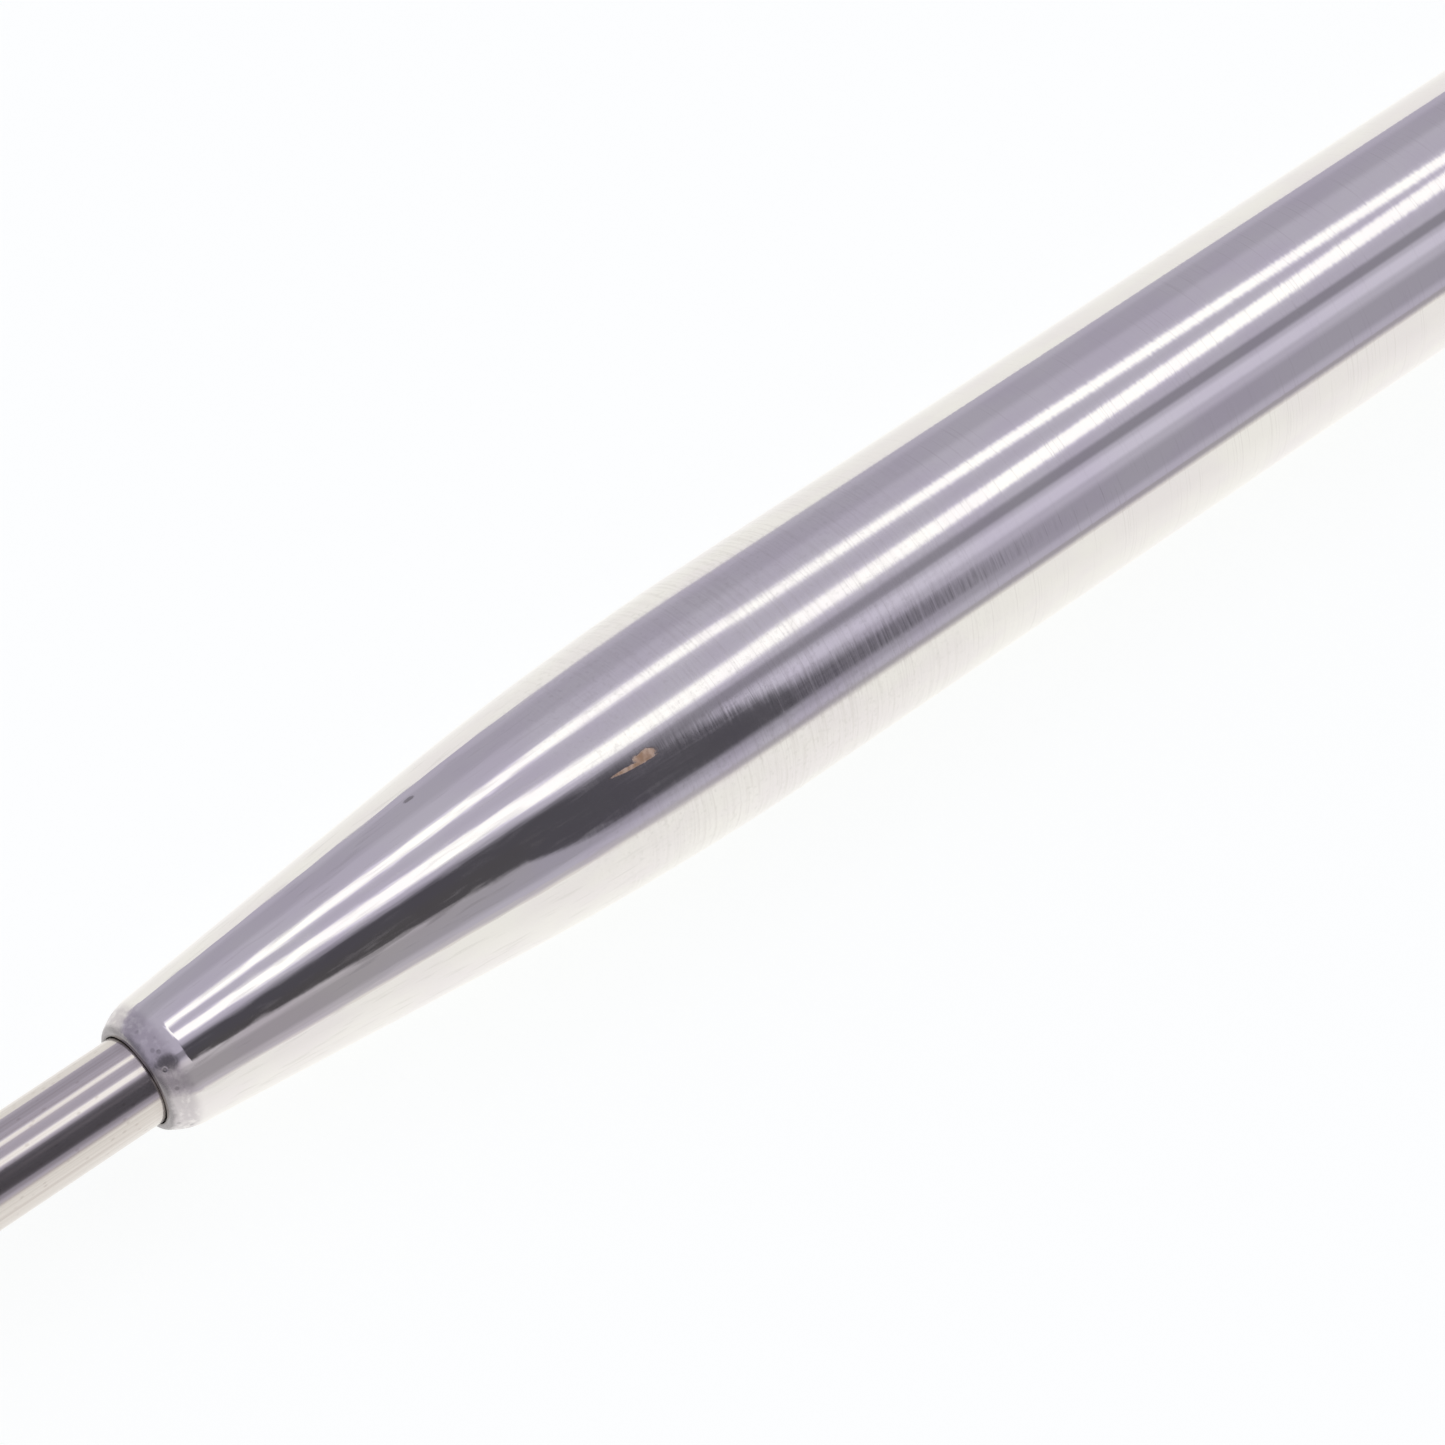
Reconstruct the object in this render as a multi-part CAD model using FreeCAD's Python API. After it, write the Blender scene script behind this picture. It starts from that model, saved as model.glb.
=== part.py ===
"""Pricking iron with a tubular handle: a solid shank runs through a drawn steel tube, from a pinned four-tine
head to a striking cap.

Millimetres. +X runs along the tool from the tine points to the cap, the tine row lies along Y and +Z is up.
The origin is under the middle of the tool, on the surface that the handle lies on.
"""
import FreeCAD, Part
import math
import os
from FreeCAD import Vector

# Handle tube
TUBE_OD = 8.0
TUBE_WALL = 0.75
HANDLE_LENGTH = 100.0
TAPER_LENGTH = 18.5          # lip to the corner where taper and cylinder would meet
SHOULDER_RADIUS = 105.0      # softens that corner
LIP_LENGTH = 1.2             # the rolled lip, which runs smoothly into the taper
LIP_MOUTH_GAP = 0.04         # shank to the lip's mouth
LIP_FACE_WIDTH = 0.18        # flat ring round the mouth
LIP_THINNING = 0.03          # how much rolling thins the wall where lip and taper meet
MOUTH_DEPTH = 0.5
NOSE_GRIP_LENGTH = 6.0       # lip to the end of the straight bore that holds the shank
CRIMP_FROM_END = 8.0
CRIMP_WIDTH = 1.5
CRIMP_DEPTH = 0.22
TUBE_END_CHAMFER = 0.15

# Shank
SHANK_DIAMETER = 3.0
SHANK_EXPOSED = 18.0         # head to lip
SHANK_CHAMFER = 0.3

# Pricking head
TINE_COUNT = 4
TINE_PITCH = 3.0
TINE_LENGTH = 5.0
TINE_SLANT = 45.0            # degrees between each slot and the head's thickness
SLOT_ROOT_WIDTH = 1.2
TINE_TIP_WIDTH = 0.22
HEAD_SIDE_MARGIN = 0.05      # blade beside the end tines' roots
BLADE_LENGTH = 9.0           # tine points to the start of the fan
BLADE_THICKNESS = 2.4
TINE_ROOT_THICKNESS = 1.6
CHISEL_LENGTH = 1.0
CHISEL_THICKNESS = 0.8
TIP_THICKNESS = 0.2
FAN_LENGTH = 8.0
BLADE_SQUARENESS = 7.0       # exponent of the blade's rounded section, 2 being an ellipse
NECK_STEP = 0.05             # how far the fan's neck sits inside the boss
BEAD_HEIGHT = 0.4            # above the boss
BEAD_LENGTH = 1.6
BOSS_WALL = 1.2              # round the shank
BOSS_LENGTH = 7.0
BOSS_CHAMFER = 0.35
SOCKET_WALL = 1.0            # head left between the fan and the socket's floor
PIN_DIAMETER = 1.2

# Striking cap and bush
CAP_STEP = 0.05              # how far the flange sits inside the tube's outside
CAP_FLANGE_LENGTH = 3.0
CAP_DOME_HEIGHT = 0.9
CAP_DOME_WIDTH = 1.45        # flange's side to the flat that is struck
CAP_DOME_BULGE = 0.22        # how far the dome stands out from a straight bevel
PLUG_LENGTH = 16.0
PLUG_SOCKET_DEPTH = 8.0
PLUG_CHAMFER = 0.4
BUSH_LENGTH = 8.0
BUSH_CHAMFER = 0.3
BUSH_FROM_LIP = 46.0

PRESS_GAP = 0.01             # radial gap that stands for a press fit
END_GAP = 0.1                # end float at the foot of a blind socket
SECTION_POINTS = 40
FAN_SECTIONS = 7
CUT_MARGIN = 2.0             # how far a cutting solid runs past what it cuts

tube_radius = TUBE_OD / 2
bore_radius = tube_radius - TUBE_WALL
shank_radius = SHANK_DIAMETER / 2
socket_radius = shank_radius + PRESS_GAP
lip_radius = socket_radius + TUBE_WALL - LIP_THINNING
boss_radius = socket_radius + BOSS_WALL
bead_radius = boss_radius + BEAD_HEIGHT
plug_radius = bore_radius - PRESS_GAP
axis_height = max(tube_radius, bead_radius)

slant = math.radians(TINE_SLANT)
slot_root_half = SLOT_ROOT_WIDTH / 2
slot_tip_half = (TINE_PITCH * math.cos(slant) - TINE_TIP_WIDTH) / 2
tine_root_width = TINE_PITCH * math.cos(slant) - SLOT_ROOT_WIDTH
end_tine_reach = (
    tine_root_width / 2 / math.cos(slant) + TINE_ROOT_THICKNESS / 2 * math.tan(slant)
)
blade_width = (TINE_COUNT - 1) * TINE_PITCH + 2 * (end_tine_reach + HEAD_SIDE_MARGIN)

head_length = BLADE_LENGTH + FAN_LENGTH + BEAD_LENGTH + BOSS_LENGTH
overall_length = head_length + SHANK_EXPOSED + HANDLE_LENGTH + CAP_FLANGE_LENGTH
tip_x = -overall_length / 2
fan_x = tip_x + BLADE_LENGTH
bead_x = fan_x + FAN_LENGTH
boss_x = bead_x + BEAD_LENGTH
boss_end_x = boss_x + BOSS_LENGTH
lip_x = boss_end_x + SHANK_EXPOSED
tube_end_x = lip_x + HANDLE_LENGTH
cap_end_x = tube_end_x + CAP_FLANGE_LENGTH
plug_x = tube_end_x - PLUG_LENGTH
crimp_x = tube_end_x - CRIMP_FROM_END
socket_x = fan_x + FAN_LENGTH + SOCKET_WALL
shank_start_x = socket_x + END_GAP
shank_end_x = plug_x + PLUG_SOCKET_DEPTH - END_GAP
pin_x = (boss_x + boss_end_x) / 2

ORIGIN = Vector(0, 0, 0)
ALONG = Vector(1, 0, 0)


def at(x, radius):
    """A point of a turned profile, in the plane through the tool's axis."""
    return Vector(x, 0, radius)


def line(start, end):
    return Part.LineSegment(start, end).toShape()


def arc(start, middle, end):
    return Part.Arc(start, middle, end).toShape()


def polyline(points):
    return [line(a, b) for a, b in zip(points, points[1:])]


def turned(edges):
    """The solid that a closed profile sweeps round the tool's axis."""
    return Part.Face(Part.Wire(edges)).revolve(ORIGIN, ALONG, 360)


def turned_polygon(*points):
    return turned(polyline([*points, points[0]]))


def eased_corner(start, corner, end, radius):
    """Edges from start to end, round an arc tangent to both runs at the corner."""
    back = (start - corner).normalize()
    ahead = (end - corner).normalize()
    half_turn = (math.pi - back.getAngle(ahead)) / 2
    reach = min(radius * math.tan(half_turn), 0.9 * (corner - start).Length)
    true_radius = reach / math.tan(half_turn)
    inward = (back + ahead).normalize()
    depth = true_radius / math.cos(half_turn) - true_radius
    first, last = corner + back * reach, corner + ahead * reach
    return [line(start, first), arc(first, corner + inward * depth, last), line(last, end)]


def beside_middle(start, end, offset):
    """The point beside the middle of a run, offset towards larger radius."""
    run = end - start
    return (start + end) * 0.5 + Vector(-run.z, 0, run.x).normalize() * offset


def arc_into(start, end, direction):
    """Arc from start to end that arrives there along the direction, with its centre on the axis's side."""
    inward = Vector(direction.z, 0, -direction.x).normalize()
    radius = (end - start).Length ** 2 / (2 * (start - end).dot(inward))
    centre = end + inward * radius
    return arc(start, centre + ((start + end) * 0.5 - centre).normalize() * radius, end)


def lifted(shape):
    """The shape raised from the tool's axis at zero height to where the tool lies."""
    shape.translate(Vector(0, 0, axis_height))
    return shape


def crimp_points(radius):
    """Start, bottom and end of the crimp's round groove in a wall of this radius."""
    half = CRIMP_WIDTH / 2
    return [at(crimp_x - half, radius), at(crimp_x, radius - CRIMP_DEPTH), at(crimp_x + half, radius)]


def handle_tube():
    """Drawn tube with a tapered nose, a rolled lip that grips the shank, and a crimp that holds the cap."""
    mouth = at(lip_x, shank_radius + LIP_MOUTH_GAP)
    lip_front = mouth + Vector(0, 0, LIP_FACE_WIDTH)
    lip_top = at(lip_x + LIP_LENGTH, lip_radius)
    shoulder = at(lip_x + TAPER_LENGTH, tube_radius)
    outer_crimp = crimp_points(tube_radius)
    inner_crimp = crimp_points(bore_radius)
    rear = [
        outer_crimp[-1],
        at(tube_end_x - TUBE_END_CHAMFER, tube_radius),
        at(tube_end_x, tube_radius - TUBE_END_CHAMFER),
        at(tube_end_x, bore_radius),
        inner_crimp[-1],
    ]
    grip_end = at(lip_x + NOSE_GRIP_LENGTH, socket_radius)
    inner_shoulder = at(lip_x + TAPER_LENGTH, bore_radius)
    edges = [line(mouth, lip_front)]
    edges += [arc_into(lip_front, lip_top, shoulder - lip_top)]
    edges += eased_corner(lip_top, shoulder, outer_crimp[0], SHOULDER_RADIUS)
    edges += [arc(*outer_crimp)]
    edges += polyline(rear)
    edges += [arc(*reversed(inner_crimp))]
    edges += polyline([
        inner_crimp[0],
        inner_shoulder,
        grip_end,
        at(lip_x + MOUTH_DEPTH, socket_radius),
        mouth,
    ])
    return turned(edges)


def shank_rod():
    """Solid rod from the socket in the head, through the nose and the bush, to the socket in the cap."""
    rod = turned_polygon(
        at(shank_start_x, 0),
        at(shank_start_x, shank_radius - SHANK_CHAMFER),
        at(shank_start_x + SHANK_CHAMFER, shank_radius),
        at(shank_end_x - SHANK_CHAMFER, shank_radius),
        at(shank_end_x, shank_radius - SHANK_CHAMFER),
        at(shank_end_x, 0),
    )
    return rod.cut(cross_hole())


def upright(radius):
    """Round bar through boss and shank, longer than the boss is thick."""
    length = 2 * (boss_radius + CUT_MARGIN)
    return Part.makeCylinder(radius, length, Vector(pin_x, 0, -length / 2), Vector(0, 0, 1))


def cross_hole():
    return upright(PIN_DIAMETER / 2)


def head_pin():
    """Cross pin, riveted and filed flush with the boss."""
    boss_outside = Part.makeCylinder(boss_radius, BOSS_LENGTH, Vector(boss_x, 0, 0), ALONG)
    return upright(PIN_DIAMETER / 2 - PRESS_GAP).common(boss_outside)


def section(x, half_width, half_thickness, squareness):
    """Closed smooth outline across the head: an ellipse at squareness 2, squarer above it."""
    points = []
    for k in range(SECTION_POINTS):
        turn = 2 * math.pi * k / SECTION_POINTS
        c, s = math.cos(turn), math.sin(turn)
        y = math.copysign(abs(c) ** (2 / squareness), c) * half_width
        z = math.copysign(abs(s) ** (2 / squareness), s) * half_thickness
        points.append(Vector(x, y, z))
    curve = Part.BSplineCurve()
    curve.interpolate(Points=points, PeriodicFlag=True)
    return Part.Wire(curve.toShape())


def eased(share):
    """0 to 1, level at both ends."""
    return share * share * (3 - 2 * share)


def fan():
    """Forged stretch that spreads the round neck into the flat blade."""
    neck_radius = boss_radius - NECK_STEP
    sections = []
    for k in range(FAN_SECTIONS):
        share = k / (FAN_SECTIONS - 1)
        rise = eased(share)
        half_width = blade_width / 2 + (neck_radius - blade_width / 2) * rise
        half_thickness = BLADE_THICKNESS / 2 + (neck_radius - BLADE_THICKNESS / 2) * rise
        squareness = BLADE_SQUARENESS + (2 - BLADE_SQUARENESS) * math.sqrt(share)
        sections.append(section(fan_x + FAN_LENGTH * share, half_width, half_thickness, squareness))
    return Part.makeLoft(sections, True)


def blade():
    """Flat of the head, thinned in steps to the chisel edge of the tines."""
    block = Part.Face(section(fan_x, blade_width / 2, BLADE_THICKNESS / 2, BLADE_SQUARENESS)).extrude(
        Vector(-BLADE_LENGTH, 0, 0)
    )
    root_x = tip_x + TINE_LENGTH
    full_x = (root_x + fan_x) / 2
    upper = [
        (tip_x, TIP_THICKNESS / 2),
        (tip_x + CHISEL_LENGTH, CHISEL_THICKNESS / 2),
        (root_x, TINE_ROOT_THICKNESS / 2),
        (full_x, BLADE_THICKNESS / 2),
        (fan_x, BLADE_THICKNESS / 2 + CUT_MARGIN),
    ]
    side = [Vector(x, -blade_width, z) for x, z in upper]
    side += [Vector(x, -blade_width, -z) for x, z in reversed(upper)]
    envelope = Part.Face(Part.makePolygon([*side, side[0]])).extrude(Vector(0, 2 * blade_width, 0))
    return block.common(envelope)


def slot_cutter(y, outward):
    """Slanted slot with a round gullet. outward is 0 between tines, or the side that an end cut clears."""
    across = Vector(0, math.cos(slant), -math.sin(slant))
    down = Vector(0, math.sin(slant), math.cos(slant))
    root_x = tip_x + TINE_LENGTH - slot_root_half
    start_x = tip_x - CUT_MARGIN
    flare = (slot_tip_half - slot_root_half) / (root_x - tip_x)
    start_half = slot_root_half + flare * (root_x - start_x)
    reach = blade_width / 2

    def place(x, offset):
        return Vector(x, y, 0) + across * offset

    low_start, low_root, high_root, high_start = -start_half, -slot_root_half, slot_root_half, start_half
    gullet = arc(place(root_x, low_root), place(root_x + slot_root_half, 0), place(root_x, high_root))
    edges = [
        line(place(start_x, low_start), place(root_x, low_root)),
        gullet,
        line(place(root_x, high_root), place(start_x, high_start)),
        line(place(start_x, high_start), place(start_x, low_start)),
    ]
    height = blade_width
    tool = Part.Face(Part.Wire(edges))
    tool.translate(down * (-height / 2))
    cutter = tool.extrude(down * height)
    if outward:
        corner = [
            place(start_x, 0),
            place(root_x + slot_root_half, 0),
            place(root_x + slot_root_half, outward * reach),
            place(start_x, outward * reach),
        ]
        block = Part.Face(Part.makePolygon([*corner, corner[0]]))
        block.translate(down * (-height / 2))
        cutter = cutter.fuse(block.extrude(down * height))
    return cutter


def boss():
    """Turned socket for the shank, with a bead where it meets the fan."""
    bead_start = bead_x - BEAD_LENGTH / 2
    edges = [
        line(at(bead_start, 0), at(bead_start, boss_radius)),
        arc(at(bead_start, boss_radius), at((bead_start + boss_x) / 2, bead_radius), at(boss_x, boss_radius)),
    ]
    edges += polyline([
        at(boss_x, boss_radius),
        at(boss_end_x - BOSS_CHAMFER, boss_radius),
        at(boss_end_x, boss_radius - BOSS_CHAMFER),
        at(boss_end_x, 0),
        at(bead_start, 0),
    ])
    return turned(edges)


def pricking_head():
    """Hardened head: slanted tines, blade, fan and socket in one piece."""
    head = blade().fuse([fan(), boss()])
    first_y = -TINE_COUNT / 2 * TINE_PITCH
    for k in range(TINE_COUNT + 1):
        outward = {0: -1, TINE_COUNT: 1}.get(k, 0)
        head = head.cut(slot_cutter(first_y + k * TINE_PITCH, outward))
    socket_length = boss_end_x - socket_x + CUT_MARGIN
    socket = Part.makeCylinder(socket_radius, socket_length, Vector(socket_x, 0, 0), ALONG)
    return head.cut([socket, cross_hole()]).removeSplitter()


def centring_bush():
    """Brass sleeve on the shank that keeps it central in the tube and stops it from rattling."""
    start = lip_x + BUSH_FROM_LIP
    end = start + BUSH_LENGTH
    return turned_polygon(
        at(start, socket_radius),
        at(start, plug_radius - BUSH_CHAMFER),
        at(start + BUSH_CHAMFER, plug_radius),
        at(end - BUSH_CHAMFER, plug_radius),
        at(end, plug_radius - BUSH_CHAMFER),
        at(end, socket_radius),
    )


def striking_cap():
    """Turned plug, crimped in the tube's end, with a domed flange that takes the mallet's blows."""
    flange_radius = tube_radius - CAP_STEP
    face_radius = flange_radius - CAP_DOME_WIDTH
    dome_x = cap_end_x - CAP_DOME_HEIGHT
    dome_foot, dome_top = at(dome_x, flange_radius), at(cap_end_x, face_radius)
    dome_middle = beside_middle(dome_foot, dome_top, CAP_DOME_BULGE)
    groove = crimp_points(plug_radius)
    flange_x = tube_end_x + PRESS_GAP
    edges = polyline([
        at(plug_x, 0),
        at(plug_x, plug_radius - PLUG_CHAMFER),
        at(plug_x + PLUG_CHAMFER, plug_radius),
        groove[0],
    ])
    edges += [arc(*groove)]
    edges += polyline([
        groove[-1],
        at(flange_x, plug_radius),
        at(flange_x, flange_radius),
        dome_foot,
    ])
    edges += [arc(dome_foot, dome_middle, dome_top)]
    edges += polyline([dome_top, at(cap_end_x, 0), at(plug_x, 0)])
    socket = Part.makeCylinder(socket_radius, PLUG_SOCKET_DEPTH, Vector(plug_x, 0, 0), ALONG)
    return turned(edges).cut(socket)


PIECES = {
    "handle_tube": handle_tube,
    "shank_rod": shank_rod,
    "pricking_head": pricking_head,
    "head_pin": head_pin,
    "centring_bush": centring_bush,
    "striking_cap": striking_cap,
}

os.makedirs("parts", exist_ok=True)
for name, make in PIECES.items():
    shape = lifted(make())
    shape.exportStep(os.path.join("parts", name + ".step"))
    box = shape.optimalBoundingBox()
    low, high = (box.XMin, box.YMin, box.ZMin), (box.XMax, box.YMax, box.ZMax)
    spans = ", ".join(f"{axis} {a:.2f} to {b:.2f}" for axis, a, b in zip("xyz", low, high))
    print(f"{name}: {len(shape.Solids)} solid, valid {shape.isValid()}, {shape.Volume:.1f} mm3, {spans}")
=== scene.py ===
"""A polished pricking iron lying on a back-lit table, in a soft tent with two long lamps."""
import math

import bmesh
import bpy
from mathutils import Matrix, Vector, noise


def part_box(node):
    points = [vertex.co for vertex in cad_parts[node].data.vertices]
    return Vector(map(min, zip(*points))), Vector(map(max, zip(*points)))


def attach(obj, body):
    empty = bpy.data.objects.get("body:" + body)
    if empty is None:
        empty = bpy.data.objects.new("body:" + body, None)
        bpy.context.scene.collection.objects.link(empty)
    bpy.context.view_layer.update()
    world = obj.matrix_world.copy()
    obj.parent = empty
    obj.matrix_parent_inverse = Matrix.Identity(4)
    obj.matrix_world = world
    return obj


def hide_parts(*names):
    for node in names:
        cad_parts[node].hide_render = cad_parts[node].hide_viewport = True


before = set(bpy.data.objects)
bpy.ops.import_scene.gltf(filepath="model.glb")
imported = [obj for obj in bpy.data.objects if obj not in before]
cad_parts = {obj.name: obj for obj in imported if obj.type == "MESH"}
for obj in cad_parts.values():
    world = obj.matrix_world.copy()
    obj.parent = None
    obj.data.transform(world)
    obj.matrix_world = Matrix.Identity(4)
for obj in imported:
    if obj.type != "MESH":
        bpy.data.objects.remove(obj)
bpy.context.view_layer.update()

MM = 0.001
TURN = 2 * math.pi
LATHE_STEPS = 256

tube_low, tube_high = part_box("handle_tube")
shank_low, shank_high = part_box("shank_rod")
head_low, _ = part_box("pricking_head")
cap_low, cap_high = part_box("striking_cap")

axis_z = (shank_low.z + shank_high.z) / 2
tube_radius = tube_high.z - axis_z
shank_radius = shank_high.z - axis_z
lip_x = tube_low.x
tube_end_x = tube_high.x
tip_x = head_low.x
plug_x = cap_low.x
cap_end_x = cap_high.x

# Sizes of the turned pieces that their boxes don't give
WALL = 0.75 * MM
LIP_LENGTH = 1.2 * MM
LIP_RADIUS = 2.23 * MM
LIP_FACE = 0.18 * MM
MOUTH_GAP = 0.04 * MM
MOUTH_DEPTH = 0.5 * MM
PRESS_GAP = 0.01 * MM
NOSE_GRIP = 6 * MM
TAPER = 18.5 * MM
SHOULDER_RADIUS = 105 * MM
CRIMP_FROM_END = 8 * MM
CRIMP_HALF = 0.75 * MM
CRIMP_DEPTH = 0.22 * MM
END_CHAMFER = 0.15 * MM
SHANK_CHAMFER = 0.3 * MM
PLUG_CHAMFER = 0.4 * MM
PLUG_SOCKET = 8 * MM
CAP_STEP = 0.05 * MM
DOME_HEIGHT = 0.9 * MM
DOME_WIDTH = 1.45 * MM
DOME_BULGE = 0.22 * MM
BREAK = 0.05 * MM           # how far a sharp corner is eased along each run
shoulder_x = lip_x + TAPER
crimp_x = tube_end_x - CRIMP_FROM_END


# Pieces

def finished(name, bm, material):
    """An object of the bmesh, shaded smooth, with its normals led by its larger faces."""
    for face in bm.faces:
        face.smooth = True
    mesh = bpy.data.meshes.new(name)
    bm.to_mesh(mesh)
    bm.free()
    mesh.materials.append(material)
    piece = bpy.data.objects.new(name, mesh)
    bpy.context.scene.collection.objects.link(piece)
    weighted = piece.modifiers.new("Normals", "WEIGHTED_NORMAL")
    weighted.weight = 100
    weighted.keep_sharp = True
    return piece


def lathed(outline):
    """Lathe work about the tool's axis. The outline has (x, radius, ease, steps) corners, where ease is how
    far the rounding reaches along both runs. It is solid if it starts and ends on the axis, else a ring."""
    bm = bmesh.new()
    corners = [bm.verts.new((x, 0, radius)) for x, radius, *_ in outline]
    solid = outline[0][1] == 0
    runs = list(zip(corners, corners[1:])) + ([] if solid else [(corners[-1], corners[0])])
    for start, end in runs:
        bm.edges.new((start, end))
    for corner, (x, radius, ease, steps) in zip(corners, outline):
        if ease:
            bmesh.ops.bevel(
                bm, geom=[corner], offset=ease, segments=steps, profile=0.5, affect="VERTICES", material=-1
            )
    bmesh.ops.spin(
        bm, geom=bm.verts[:] + bm.edges[:], cent=(0, 0, 0), axis=(1, 0, 0), angle=TURN,
        steps=LATHE_STEPS, use_merge=True,
    )
    bmesh.ops.remove_doubles(bm, verts=bm.verts, dist=0.0005 * MM)
    bmesh.ops.recalc_face_normals(bm, faces=bm.faces)
    bmesh.ops.translate(bm, verts=bm.verts, vec=(0, 0, axis_z))
    return bm


def round_run(start, end, bulge, steps, spare=0):
    """The outline corner that rounds a run from start to end into an arc standing out by the bulge. Spare is
    how much of each end of the run is left for easing the corners there."""
    span = Vector(end) - Vector(start)
    half_turn = 2 * math.atan(2 * bulge / span.length)
    outward = Vector((-span.y, span.x)).normalized()
    corner = (Vector(start) + Vector(end)) / 2 + outward * span.length / 2 * math.tan(half_turn)
    reach = span.length / 2 / math.cos(half_turn) - spare
    return (corner.x, corner.y, reach, steps)


def run_into(start, end, direction, steps, spare):
    """The outline corner that rounds a run into an arc, which arrives at its end along the direction."""
    span, arrival = Vector(end) - Vector(start), Vector(direction).normalized()
    reach = span.length_squared / (2 * span.dot(arrival))
    corner = Vector(end) - arrival * reach
    return (corner.x, corner.y, reach - spare, steps)


def crimped(radius, steps):
    """Corners of the crimp's groove in a wall, from the nose end."""
    start, end = (crimp_x - CRIMP_HALF, radius), (crimp_x + CRIMP_HALF, radius)
    ease = 3 * BREAK
    return [(*start, ease, 5), round_run(start, end, -CRIMP_DEPTH, steps, ease), (*end, ease, 5)]


def handle(material):
    """The drawn tube: rolled lip, taper, soft shoulder, cylinder and crimp, with its bore."""
    mouth = shank_radius + MOUTH_GAP
    grip = shank_radius + PRESS_GAP
    bore = tube_radius - WALL
    lip_front, lip_back = (lip_x, mouth + LIP_FACE), (lip_x + LIP_LENGTH, LIP_RADIUS)
    taper = (TAPER - LIP_LENGTH, tube_radius - LIP_RADIUS)
    shoulder_reach = SHOULDER_RADIUS * math.tan(math.atan2(taper[1], taper[0]) / 2)
    bm = lathed([
        (lip_x, mouth, 0.02 * MM, 3),
        (*lip_front, BREAK, 5),
        run_into(lip_front, lip_back, taper, 24, 2 * BREAK),
        (shoulder_x, tube_radius, shoulder_reach, 40),
        *crimped(tube_radius, 12),
        (tube_end_x - END_CHAMFER, tube_radius, 0.04 * MM, 3),
        (tube_end_x, tube_radius - END_CHAMFER, 0.04 * MM, 3),
        (tube_end_x, bore, 0, 0),
        *reversed(crimped(bore, 8)),
        (shoulder_x, bore, 1 * MM, 6),
        (lip_x + NOSE_GRIP, grip, 0, 0),
        (lip_x + MOUTH_DEPTH, grip, 0, 0),
    ])
    roll_by_hand(bm)
    return finished("handle", bm, material)


def roll_by_hand(bm):
    """Makes the rolled lip a little uneven, as it is spun over by hand."""
    feature, height = 0.7 * MM, 0.024 * MM
    for vert in bm.verts:
        share = 1 - (vert.co.x - lip_x) / (1.6 * LIP_LENGTH)
        outward = Vector((0, vert.co.y, vert.co.z - axis_z))
        if share > 0 and outward.length > shank_radius + MOUTH_GAP * 0.9:
            vert.co += outward.normalized() * noise.noise(vert.co / feature) * height * share
            if vert.co.x < lip_x + BREAK:
                vert.co.x += (1 + noise.noise(vert.co / feature + Vector((7, 3, 1)))) * height / 2


def shank(material):
    return finished("shank", lathed([
        (shank_low.x, 0, 0, 0),
        (shank_low.x, shank_radius - SHANK_CHAMFER, 0, 0),
        (shank_low.x + SHANK_CHAMFER, shank_radius, BREAK, 3),
        (shank_high.x - SHANK_CHAMFER, shank_radius, BREAK, 3),
        (shank_high.x, shank_radius - SHANK_CHAMFER, 0, 0),
        (shank_high.x, 0, 0, 0),
    ]), material)


def cap(material):
    """Turned plug with the crimp's groove, the shank's socket and a domed flange."""
    plug = tube_radius - WALL - PRESS_GAP
    socket = shank_radius + PRESS_GAP
    flange = tube_radius - CAP_STEP
    flange_x = tube_end_x + PRESS_GAP
    foot, top = (cap_end_x - DOME_HEIGHT, flange), (cap_end_x, flange - DOME_WIDTH)
    return finished("cap", lathed([
        (plug_x + PLUG_SOCKET, 0, 0, 0),
        (plug_x + PLUG_SOCKET, socket, 0, 0),
        (plug_x, socket, 0, 0),
        (plug_x, plug - PLUG_CHAMFER, 0, 0),
        (plug_x + PLUG_CHAMFER, plug, 0, 0),
        *crimped(plug, 8),
        (flange_x, plug, 0, 0),
        (flange_x, flange, BREAK, 3),
        (*foot, BREAK, 3),
        round_run(foot, top, DOME_BULGE, 24, 2 * BREAK),
        (*top, BREAK, 3),
        (cap_end_x, 0, 0, 0),
    ]), material)


def eased_copy(name, node, material, width):
    """A copy of a CAD node with its sharp edges broken by the width."""
    bm = bmesh.new()
    bm.from_mesh(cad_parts[node].data)
    bmesh.ops.remove_doubles(bm, verts=bm.verts, dist=0.001 * MM)
    piece = finished(name, bm, material)
    edge = piece.modifiers.new("Broken edges", "BEVEL")
    edge.width = width
    edge.segments = 2
    edge.limit_method = "ANGLE"
    edge.angle_limit = math.radians(28)
    piece.modifiers.move(1, 0)
    return piece


# Shader maths

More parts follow.
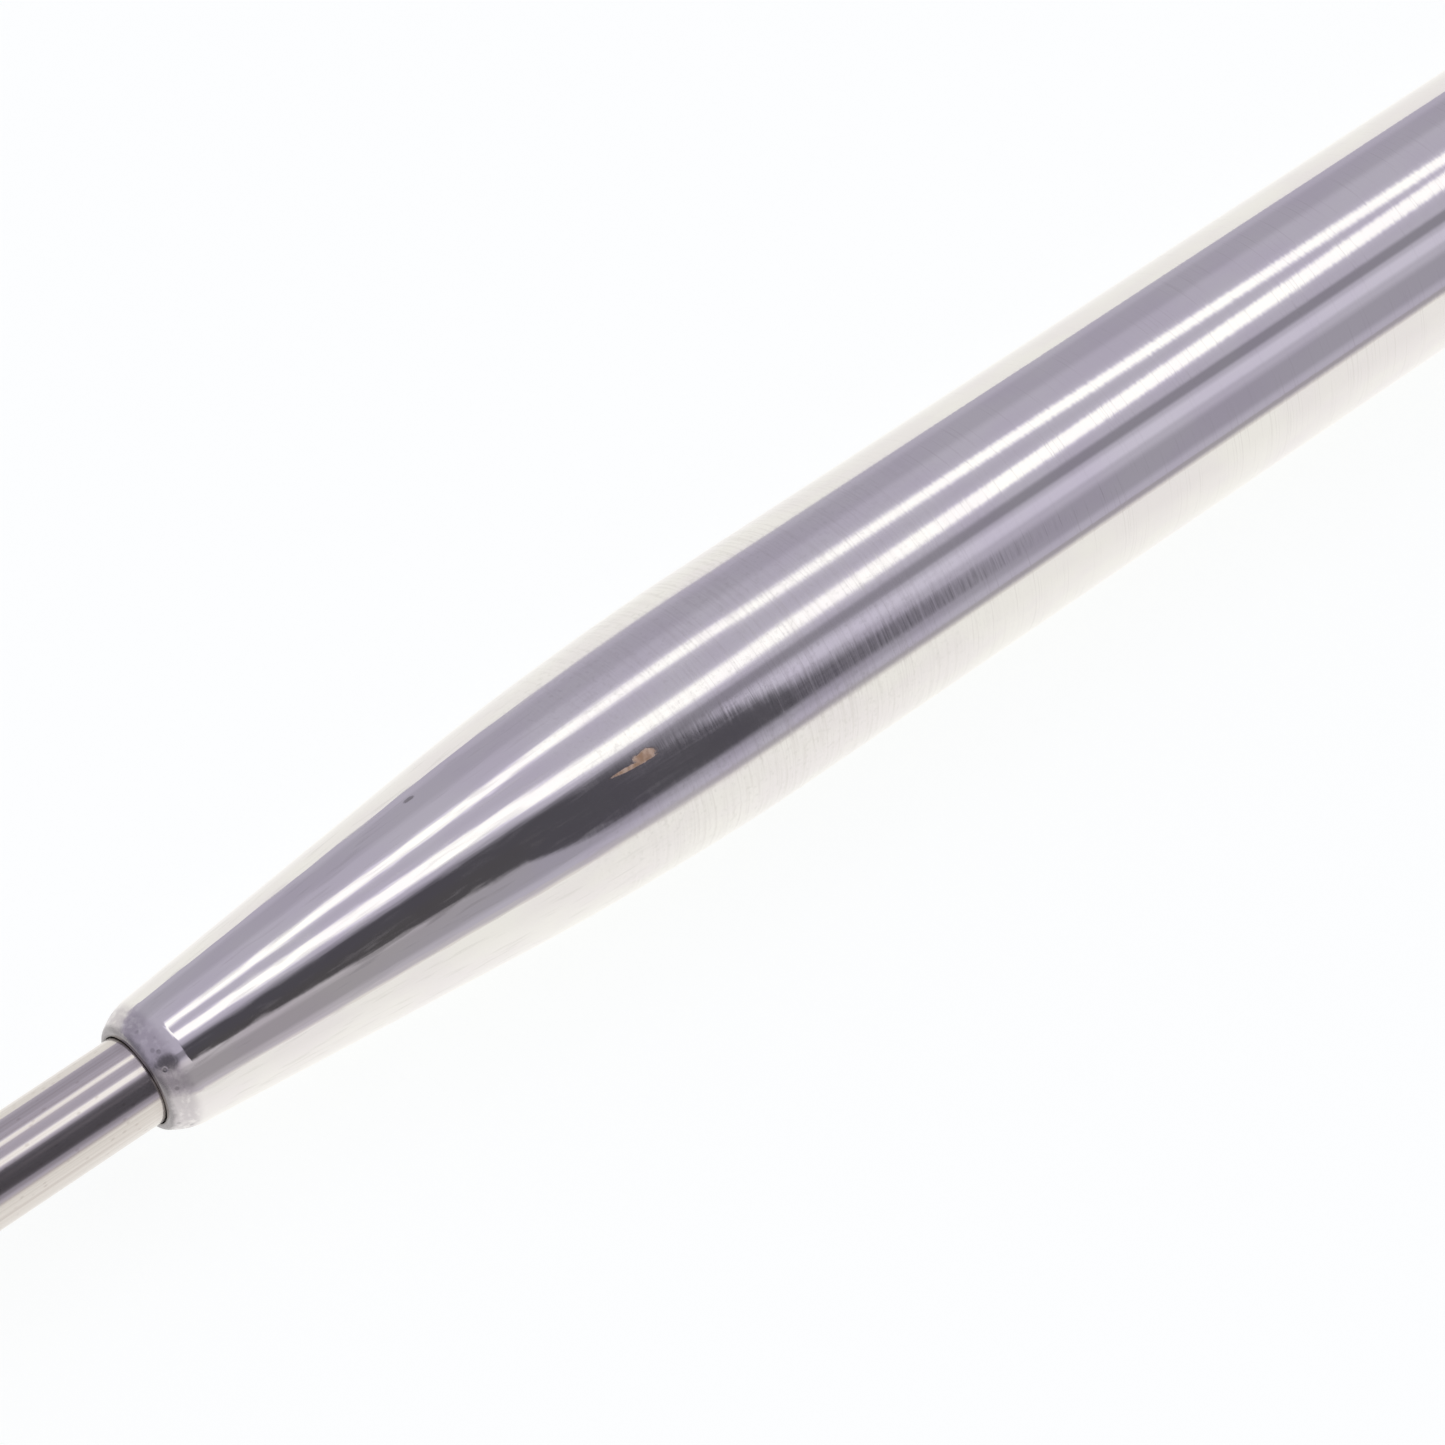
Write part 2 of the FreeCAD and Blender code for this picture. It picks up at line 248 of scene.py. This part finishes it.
class Value:
    """A shader socket. Arithmetic on it adds the Math nodes that work it out."""

    def __init__(self, tree, socket):
        self.tree = tree
        self.socket = socket

    def maths(self, operation, *operands):
        return add_node(self.tree, "ShaderNodeMath", {"operation": operation}, dict(enumerate(operands)))

    def __add__(self, other):
        return self.maths("ADD", self, other)

    def __radd__(self, other):
        return self.maths("ADD", other, self)

    def __sub__(self, other):
        return self.maths("SUBTRACT", self, other)

    def __rsub__(self, other):
        return self.maths("SUBTRACT", other, self)

    def __mul__(self, other):
        return self.maths("MULTIPLY", self, other)

    def __rmul__(self, other):
        return self.maths("MULTIPLY", other, self)

    def __truediv__(self, other):
        return self.maths("DIVIDE", self, other)

    def __pow__(self, other):
        return self.maths("POWER", self, other)

    def __abs__(self):
        return self.maths("ABSOLUTE", self)

    def rise(self, start, end):
        """0 up to start, 1 from end, smooth between. A falling mask has start above end."""
        low, high = min(start, end), max(start, end)
        settings = {"interpolation_type": "SMOOTHSTEP"}
        risen = add_node(self.tree, "ShaderNodeMapRange", settings, {0: self, 1: low, 2: high, 3: 0, 4: 1})
        return risen if start < end else 1 - risen

    def split(self):
        """The x, y and z of a place or direction."""
        node = add_node(self.tree, "ShaderNodeSeparateXYZ", {}, {0: self}).socket.node
        return [Value(self.tree, output) for output in node.outputs]

    def stretched(self, size, shift=0):
        """The place measured in steps of the size along x, y and z."""
        steps = tuple(1 / length for length in size)
        operation = {"operation": "MULTIPLY_ADD"}
        sockets = {0: self, 1: steps, 2: (shift, shift, shift)}
        return add_node(self.tree, "ShaderNodeVectorMath", operation, sockets)

    def grain(self, size, detail=2.0, shift=0):
        """Cloudy noise from 0 to 1 at a place, with features of the size along x, y and z."""
        sockets = {"Vector": self.stretched(size, shift), "Scale": 1.0, "Detail": detail}
        return add_node(self.tree, "ShaderNodeTexNoise", {}, sockets)

    def pits(self, size, share, shift=0):
        """Scattered round spots, 1 at their middles. Share is how large they are against their spacing."""
        sockets = {"Vector": self.stretched(size, shift), "Scale": 1.0}
        return add_node(self.tree, "ShaderNodeTexVoronoi", {}, sockets).rise(share, share * 0.4)


def add_node(tree, kind, settings, sockets, output=0):
    """Adds a node: its settings first, then each socket's value or link. Returns an output as a Value."""
    node = tree.nodes.new(kind)
    for name, setting in settings.items():
        setattr(node, name, setting)
    feed(node, sockets)
    return Value(tree, node.outputs[output]) if len(node.outputs) else None


def feed(node, sockets):
    for key, given in sockets.items():
        socket = node.inputs[key]
        if isinstance(given, Value):
            node.id_data.links.new(given.socket, socket)
        else:
            socket.default_value = given


def mixed(first, second, share):
    """Two colours or links mixed. The second is all there is where share is 1."""
    sockets = {"Factor": share, 6: first, 7: second}
    return add_node(share.tree, "ShaderNodeMix", {"data_type": "RGBA"}, sockets, output=2)


def either(*masks):
    """The larger of several masks at each place."""
    result = masks[0]
    for mask in masks[1:]:
        result = result.maths("MAXIMUM", result, mask)
    return result


# Studio

LEAN = math.radians(25)
ROUND = math.radians(67.3)
SLOPE = math.radians(33.8)
CAMERA_DISTANCE = 174.4 * MM
CAMERA_LENS = 136.5
AIM_FROM_LIP = 22.8 * MM
AIM_BELOW_AXIS = 0.88 * MM


def camera():
    """Looks down at the nose and shoulder from the tine end, with the tool climbing to the right."""
    towards = Vector((
        -math.sin(LEAN),
        -math.cos(LEAN) * math.cos(ROUND),
        math.cos(LEAN) * math.sin(ROUND),
    ))
    along = Vector((
        math.cos(LEAN),
        -math.sin(LEAN) * math.cos(ROUND),
        math.sin(LEAN) * math.sin(ROUND),
    ))
    across = Vector((0, math.sin(ROUND), math.cos(ROUND)))
    right = math.cos(SLOPE) * along - math.sin(SLOPE) * across
    up = math.sin(SLOPE) * along + math.cos(SLOPE) * across
    aim = Vector((lip_x + AIM_FROM_LIP, 0, axis_z)) - AIM_BELOW_AXIS * across
    place = aim + towards * CAMERA_DISTANCE
    data = bpy.data.cameras.new("camera")
    data.lens = CAMERA_LENS
    data.clip_start = 1 * MM
    seen_from = bpy.data.objects.new("camera", data)
    seen_from.matrix_world = Matrix.Translation(place) @ Matrix((right, up, towards)).transposed().to_4x4()
    bpy.context.scene.collection.objects.link(seen_from)
    bpy.context.scene.camera = seen_from


def stage_sheet(name, corners, material):
    """A flat four-cornered sheet that belongs to the studio."""
    bm = bmesh.new()
    bm.faces.new([bm.verts.new(corner) for corner in corners])
    mesh = bpy.data.meshes.new(name)
    bm.to_mesh(mesh)
    bm.free()
    mesh.materials.append(material)
    sheet = bpy.data.objects.new(name, mesh)
    bpy.context.scene.collection.objects.link(sheet)
    return sheet


TABLE_LEVEL = 0.86


def table():
    """Back-lit white table. In polished metal it shows a little warmer, and brightest close to the tool."""
    material = bpy.data.materials.new("lit_white_sheet")
    material.use_nodes = True
    tree = material.node_tree
    in_metal = add_node(tree, "ShaderNodeLightPath", {}, {}, output="Is Glossy Ray")
    _, y, _ = add_node(tree, "ShaderNodeTexCoord", {}, {}, output="Object").split()
    close = abs(y / MM).rise(16, 2)
    warm = mixed((1, 1, 0.95, 1), (1.1, 1.1, 1.06, 1), close)
    feed(tree.nodes["Principled BSDF"], {
        "Base Color": (0.25, 0.25, 0.25, 1),
        "Roughness": 0.9,
        "Specular IOR Level": 0,
        "Emission Color": mixed((0.985, 1, 0.99, 1), warm, in_metal),
        "Emission Strength": TABLE_LEVEL,
    })
    reach = 3
    corners = [(-reach, -reach, 0), (reach, -reach, 0), (reach, reach, 0), (-reach, reach, 0)]
    stage_sheet("table", corners, material)


def front_card():
    """A low card along the table's front that only shows in polished metal, darker towards the cap's end."""
    distance, height, half_length = 46 * MM, 6.6 * MM, 150 * MM
    material = bpy.data.materials.new("grey_card")
    material.use_nodes = True
    tree = material.node_tree
    tree.nodes.clear()
    x, _, z = add_node(tree, "ShaderNodeTexCoord", {}, {}, output="Object").split()
    foot = (z / height).rise(0.6, 0)
    level = 0.55 - 0.15 * (x / MM).rise(-10, 15)
    tint = mixed((1.05, 1, 1.1, 1), (1.03, 1, 0.96, 1), foot)
    strength = level + (TABLE_LEVEL - level) * foot
    glow = add_node(tree, "ShaderNodeEmission", {}, {"Color": tint, "Strength": strength})
    add_node(tree, "ShaderNodeOutputMaterial", {}, {"Surface": glow})
    sheet = stage_sheet("front_card", [
        (-half_length, -distance, 0),
        (half_length, -distance, 0),
        (half_length, -distance, height),
        (-half_length, -distance, height),
    ], material)
    sheet.visible_camera = False
    sheet.visible_diffuse = False
    sheet.visible_shadow = False


# The tent, in degrees round the tool's axis from the table's front up and over to its back, and in degrees of
# lean towards the cap's end. Each panel has its middle, half its width, how soft its edges are and its level.
TENT_LEVEL = 0.5
PANELS = (
    (20, 8, 8, 0.37),       # shaded foot
    (46, 3, 5, 0.65),       # gap that lets daylight in
    (61, 3, 4, 0.28),       # seam
    (157, 8, 10, 0.42),     # shaded back
)
# Each lamp has its angle at the middle of its bow, how far its ends bow round, and half its width
LAMPS = ((118, -8, 5), (79, 9, 6.5))
LAMP_MIDDLE = 20
LAMP_REACH = 13
LAMP_LEVEL = 1.3
LAMP_SPILL = 0.06
LAMP_EDGE = 2.4
# The dark camera stand has straight edges: its foot slopes down to a level stretch, and its top slopes twice.
# A sloping edge has its lean, its angle there and its slope.
STAND_LEVEL = 0.08
STAND_FOOT = 16
STAND_FOOT_SLOPE = (5, 49, -2.9)
STAND_TOP_SLOPES = ((5, 72, -0.7), (17.5, 62, -3.3))
STAND_END = 27
LENS_LEAN, LENS_AROUND = -33, 61


def sloping(over, lean, angle, slope):
    """The angle of a straight edge at each lean."""
    return angle + slope * (over - lean)


def studio():
    """The tent's inside, worked out from each direction's angle round the tool and its lean to the cap."""
    world = bpy.data.worlds.new("studio")
    world.use_nodes = True
    bpy.context.scene.world = world
    tree = world.node_tree
    tree.nodes.clear()
    x, y, z = add_node(tree, "ShaderNodeTexCoord", {}, {}, output="Generated").split()
    degrees = 180 / math.pi
    around = z.maths("ARCTAN2", z, y * -1) * degrees
    over = x.maths("ARCSINE", x) * degrees

    level = TENT_LEVEL
    for middle, half, soft, panel_level in PANELS:
        panel = abs(around - middle).rise(half + soft, half)
        level = level + (panel_level - level) * panel

    bow = (abs(over - LAMP_MIDDLE) / LAMP_REACH) ** 2
    lit = over.rise(-4, 3)
    for middle, ends, half in LAMPS:
        from_edge = abs(around - (middle + ends * bow)) - half
        level = level + LAMP_SPILL * from_edge.rise(9, 0) * lit
        level = level + (LAMP_LEVEL - level) * from_edge.rise(LAMP_EDGE, -LAMP_EDGE) * lit

    foot = over.maths("MAXIMUM", sloping(over, *STAND_FOOT_SLOPE), STAND_FOOT)
    top = over.maths("MINIMUM", *[sloping(over, *slope) for slope in STAND_TOP_SLOPES])
    stand = (around - foot).rise(-2.5, 2.5) * (top - around).rise(-6, 5)
    stand = stand * over.rise(STAND_END + 2, STAND_END - 1)
    lens = (((over - LENS_LEAN) ** 2 + (around - LENS_AROUND) ** 2) ** 0.5).rise(22, 11)
    dark = either(stand * over.rise(0, 5), lens)
    level = level + (STAND_LEVEL - level) * dark
    level = either(level, around.rise(0, -1))

    lilac = mixed((1.045, 1, 1.21, 1), (1.05, 1, 1.08, 1), over.rise(13, 9) * around.rise(60, 45))
    tint = mixed(lilac, (1, 1, 1, 1), level.rise(0.75, 1.1))
    coloured = add_node(tree, "ShaderNodeVectorMath", {"operation": "SCALE"}, {0: tint, "Scale": level})
    seen = add_node(tree, "ShaderNodeLightPath", {}, {}, output="Is Camera Ray")
    colour = mixed(coloured, (0.97, 0.975, 0.975, 1), seen)
    background = add_node(tree, "ShaderNodeBackground", {}, {"Color": colour, "Strength": 1.0})
    add_node(tree, "ShaderNodeOutputWorld", {}, {"Surface": background})


# Finishes. Places and grain sizes are in millimetres, heights in thousandths of one.

def new_metal(name):
    """A metal to finish: its material and each point's place on the piece."""
    material = bpy.data.materials.new(name)
    material.use_nodes = True
    tree = material.node_tree
    feed(tree.nodes["Principled BSDF"], {"Metallic": 1.0})
    place = add_node(tree, "ShaderNodeTexCoord", {}, {}, output="Object")
    in_mm = {0: place, "Scale": 1 / MM}
    return material, add_node(tree, "ShaderNodeVectorMath", {"operation": "SCALE"}, in_mm)


def finish(material, colour, roughness, height):
    tree = material.node_tree
    normal = add_node(tree, "ShaderNodeBump", {}, {"Strength": 1.0, "Distance": 0.001 * MM, "Height": height})
    feed(tree.nodes["Principled BSDF"], {"Base Color": colour, "Roughness": roughness, "Normal": normal})
    return material


def mark(place, rag, from_lip, angle, radius, half_length, half_width, lean=0):
    """1 in a small mark on the handle, centred at the angle round from its front, with an edge broken up by
    the rag. Lean is how far it climbs round the handle for each millimetre along it."""
    x, y, z = place
    turn = math.radians(angle)
    middle_y, middle_z = -radius * math.cos(turn), axis_z / MM + radius * math.sin(turn)
    along = x - (lip_x / MM + from_lip)
    round_it = (y - middle_y) * math.sin(turn) + (z - middle_z) * math.cos(turn)
    outward = (y - middle_y) * -math.cos(turn) + (z - middle_z) * math.sin(turn)
    off = ((along / half_length) ** 2 + ((round_it - along * lean) / half_width) ** 2) ** 0.5
    return (off + rag).rise(1.1, 0.65) * outward.rise(-1, -0.5)


def buffed_nickel():
    """Bright nickel plate on the drawn tube: brushed lengthwise on the taper, wheel marks round the shoulder
    and handle, a rough rolled lip, and a spot where the plate has worn through to the copper under it."""
    material, place = new_metal("buffed_nickel")
    x, y, z = xyz = place.split()
    along = x - lip_x / MM
    lip = along.rise(1.0, 0.55)
    cylinder = along.rise(13, 22)
    shoulder = along.rise(13.5, 17.5) * along.rise(36, 25)

    wander = place.grain((9, 5, 5), 0.0)
    ripple = place.grain((0.3, 1.0, 1.0), 1.0)
    wheel = place.grain((0.12, 2.2, 2.2), 1.0)
    scratch = place.grain((0.05, 2.4, 2.4), 0.0, shift=40).rise(0.62, 0.8)
    smear = place.grain((3.2, 1.6, 1.6), 2.0, shift=11)
    drag = place.grain((7, 0.15, 0.15), 1.0, shift=33)
    speck = place.grain((0.16, 0.16, 0.16), 2.0, shift=51).rise(0.54, 0.7)
    roll = place.grain((0.22, 0.3, 0.3), 2.0)
    rag = (roll - 0.5) * 0.7
    pit = place.pits((0.4, 0.4, 0.4), 0.26, shift=5)

    skin = tube_radius / MM
    worn = either(
        mark(xyz, rag, 17.7, 60.2, skin, 1.0, 0.08, -0.09),
        mark(xyz, rag * 1.3, 18.2, 61.6, skin, 0.5, 0.19, -0.06),
    )
    nick = either(
        mark(xyz, rag, 11.55, 117, 3.2, 0.2, 0.1),
        mark(xyz, rag, 46, 300, skin, 0.4, 0.06, 0.3),
        mark(xyz, rag, 63, 190, skin, 0.16, 0.12),
    )
    radius = (y * y + (z - axis_z / MM) ** 2) ** 0.5
    # Painted shade: the mouth's inner surfaces round the rod are darkened as if in shadow
    mouth = radius.rise(1.64, 1.56) * along.rise(0.4, 0.3)
    # Painted shade: a dark line along the very front of the lip, where it closes on the rod
    lip_edge_painted_shade = (along + (roll - 0.5) * 0.3).rise(0.24, 0.04)

    colour = mixed((0.815, 0.795, 0.765, 1), (0.79, 0.755, 0.755, 1), smear.rise(0.35, 0.7))
    wheel_marks = either(scratch * 0.35, shoulder * wheel.rise(0.45, 0.75) * 0.5) * cylinder
    colour = mixed(colour, (0.70, 0.67, 0.65, 1), wheel_marks)
    dull = either(speck * shoulder * 0.22, drag.rise(0.55, 0.75) * (1 - cylinder) * 0.25)
    colour = mixed(colour, (0.60, 0.585, 0.55, 1), dull)
    colour = mixed(colour, (0.58, 0.545, 0.56, 1), lip * roll.rise(0.15, 0.55))
    # Pits in the lip and nicks are real dark marks; the darkening along the lip's front edge is painted shade
    colour = mixed(colour, (0.26, 0.245, 0.255, 1), either(lip * pit * 0.45, nick * 0.8, lip_edge_painted_shade * 0.85))
    # Painted shade in the mouth between the lip and the rod
    colour = mixed(colour, (0.12, 0.11, 0.10, 1), mouth * 0.6)
    colour = mixed(colour, mixed((0.93, 0.72, 0.54, 1), (0.66, 0.44, 0.28, 1), roll.rise(0.35, 0.65)), worn)
    brushed = drag.rise(0.5, 0.72) * (1 - 0.8 * cylinder)
    roughness = 0.045 + 0.09 * brushed + 0.02 * cylinder
    roughness = roughness + shoulder * (0.01 + 0.08 * wheel + 0.03 * speck) + 0.05 * scratch * cylinder
    roughness = either(roughness, lip * (0.16 + 0.14 * roll), worn * 0.42, nick * 0.4, lip_edge_painted_shade * 0.3)
    height = (
        12 * wander
        + ripple * (0.3 + 1.1 * cylinder)
        + wheel * (0.6 * cylinder + 0.3 * shoulder)
        + drag * (1.5 - 1.1 * cylinder)
        - scratch * cylinder * 0.12
        + lip * (roll * 8 - pit * 5)
        - nick * 2.5
        - worn * 0.6
    )
    return finish(material, colour, roughness, height)


def drawn_steel():
    """Bare steel rod, bright from the die, with fine lines along it."""
    material, place = new_metal("drawn_steel")
    x, _, _ = place.split()
    line = place.grain((9, 0.07, 0.07), 1.0)
    deep_line = place.grain((14, 0.12, 0.12), 0.0, shift=20).rise(0.66, 0.8)
    smear = place.grain((1.6, 0.6, 0.6), 2.0, shift=3)
    stain = place.pits((0.5, 0.3, 0.3), 0.2, shift=9)
    # Painted shade: the rod darkens where it goes into the lip's mouth
    rod_painted_shade_at_mouth = (x - lip_x / MM).rise(-0.5, 0.05)
    colour = mixed((0.70, 0.66, 0.63, 1), (0.635, 0.59, 0.555, 1), line.rise(0.3, 0.75))
    # The darker colour serves real deep lines and stains, and painted shade at the mouth
    colour = mixed(colour, (0.42, 0.36, 0.33, 1), either(deep_line * 0.25, stain * 0.3, rod_painted_shade_at_mouth * 0.25))
    roughness = 0.10 + 0.05 * smear + 0.04 * deep_line
    height = line * 0.12 - deep_line * 0.15 + smear * 1.2
    return finish(material, colour, roughness, height)


def ground_steel():
    """Hardened head: satin plate, ground across the flats, turned round the boss, the tines honed bright."""
    material, place = new_metal("ground_steel")
    x, y, z = place.split()
    from_tip = x - tip_x / MM
    honed = from_tip.rise(5.6, 4.9)
    edge = from_tip.rise(1.1, 0.7)
    turned = from_tip.rise(16.6, 17.2)
    across = place.grain((0.05, 2.6, 1.2), 2.0)
    ring = place.grain((0.06, 2.5, 2.5), 2.0, shift=8)
    stroke = place.grain((1.8, 0.05, 0.05), 2.0, shift=17)
    cloud = place.grain((2.4, 2.4, 2.4), 4.0, shift=23)
    scuff = place.grain((0.5, 0.09, 0.4), 2.0, shift=31).rise(0.64, 0.76)
    wax = from_tip.rise(5.5, 4.9) * from_tip.rise(3.6, 4.6) * cloud.rise(0.42, 0.62)
    lines = across + (ring - across) * turned
    lines = lines + (stroke - lines) * honed

    colour = mixed((0.66, 0.65, 0.62, 1), (0.54, 0.525, 0.51, 1), lines.rise(0.35, 0.7))
    colour = mixed(colour, (0.50, 0.49, 0.485, 1), cloud.rise(0.4, 0.75) * 0.6)
    colour = mixed(colour, (0.80, 0.79, 0.77, 1), either(honed * 0.55, edge, scuff * 0.5))
    colour = mixed(colour, (0.30, 0.22, 0.16, 1), wax * 0.45)
    roughness = 0.25 + 0.10 * cloud + (0.13 - 0.27) * either(honed * 0.8, turned * 0.6) + 0.08 * wax
    height = lines * 0.8 + cloud * 2 - scuff * 1.2
    return finish(material, colour, roughness, height)


def filed_steel():
    """Pin ends filed flush with the boss: straight strokes one way, crossed by a few the other way."""
    material, place = new_metal("filed_steel")
    stroke = place.grain((0.04, 1.5, 1.5), 2.0)
    cross_stroke = place.grain((1.5, 0.05, 1.5), 1.0, shift=6).rise(0.58, 0.72)
    colour = mixed((0.60, 0.585, 0.56, 1), (0.44, 0.43, 0.42, 1), stroke.rise(0.35, 0.65))
    roughness = 0.22 + 0.12 * stroke
    return finish(material, colour, roughness, stroke * 1.0 - cross_stroke * 0.8)


def turned_brass():
    """Sleeve straight from the lathe: fine rings, a little tarnish."""
    material, place = new_metal("turned_brass")
    ring = place.grain((0.07, 3, 3), 2.0)
    tarnish = place.grain((1.8, 1.8, 1.8), 4.0, shift=13)
    colour = mixed((0.80, 0.62, 0.30, 1), (0.55, 0.40, 0.19, 1), tarnish.rise(0.4, 0.75) * 0.8)
    colour = mixed(colour, (0.88, 0.72, 0.42, 1), ring.rise(0.6, 0.75) * 0.6)
    roughness = 0.2 + 0.12 * tarnish
    return finish(material, colour, roughness, ring * 1.4)


def struck_nickel():
    """Cap plated like the handle, its dome bruised and its face scuffed and dented by the mallet."""
    material, place = new_metal("struck_nickel")
    x, y, z = place.split()
    radius = (y * y + (z - axis_z / MM) ** 2) ** 0.5
    dome = (x - cap_end_x / MM).rise(-0.95, -0.3)
    face = dome * radius.rise(3.2, 2.2)
    ring = place.grain((0.06, 2.5, 2.5), 2.0)
    facing = add_node(material.node_tree, "ShaderNodeTexNoise", {"noise_dimensions": "1D"},
                      {"W": radius / 0.07, "Scale": 1.0, "Detail": 2.0})
    dent = place.grain((0.9, 0.9, 0.9), 2.0, shift=4)
    bruise = place.grain((1.2, 1.2, 1.2), 1.0, shift=2).rise(0.56, 0.7)
    bare = place.grain((2.2, 2.2, 2.2), 3.0, shift=27).rise(0.3, 0.55)
    scuff = place.grain((0.6, 0.07, 0.5), 2.0, shift=15).rise(0.6, 0.74)
    lines = ring + (facing - ring) * face
    colour = mixed((0.82, 0.80, 0.745, 1), (0.74, 0.72, 0.68, 1), lines.rise(0.4, 0.7))
    colour = mixed(colour, (0.57, 0.55, 0.53, 1), either(face * bare * 0.9, dome * scuff * 0.7))
    dark = either(face * bruise * 0.35, dome * dent.rise(0.55, 0.75) * 0.3)
    colour = mixed(colour, (0.40, 0.38, 0.36, 1), dark)
    roughness = 0.07 + 0.05 * lines + dome * (0.05 + 0.12 * dent) + face * 0.1 * bare + 0.12 * dome * scuff
    height = lines * (0.3 + 0.7 * face) + dome * (dent * 12 - bruise * 7 - scuff * 1.5)
    return finish(material, colour, roughness, height)


camera()
table()
front_card()
studio()

PIECES = (
    (handle(buffed_nickel()), "handle_tube", "polished_tube"),
    (shank(drawn_steel()), "shank_rod", "shank_steel"),
    (eased_copy("head", "pricking_head", ground_steel(), 0.05 * MM), "pricking_head", "head_steel"),
    (cap(struck_nickel()), "striking_cap", "cap_steel"),
)
for piece, node, slot in PIECES:
    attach(piece, "root")
    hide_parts(node)
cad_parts["head_pin"].data.materials[0] = filed_steel()
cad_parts["centring_bush"].data.materials[0] = turned_brass()

bpy.context.scene.view_settings.view_transform = "Standard"
bpy.context.view_layer.update()
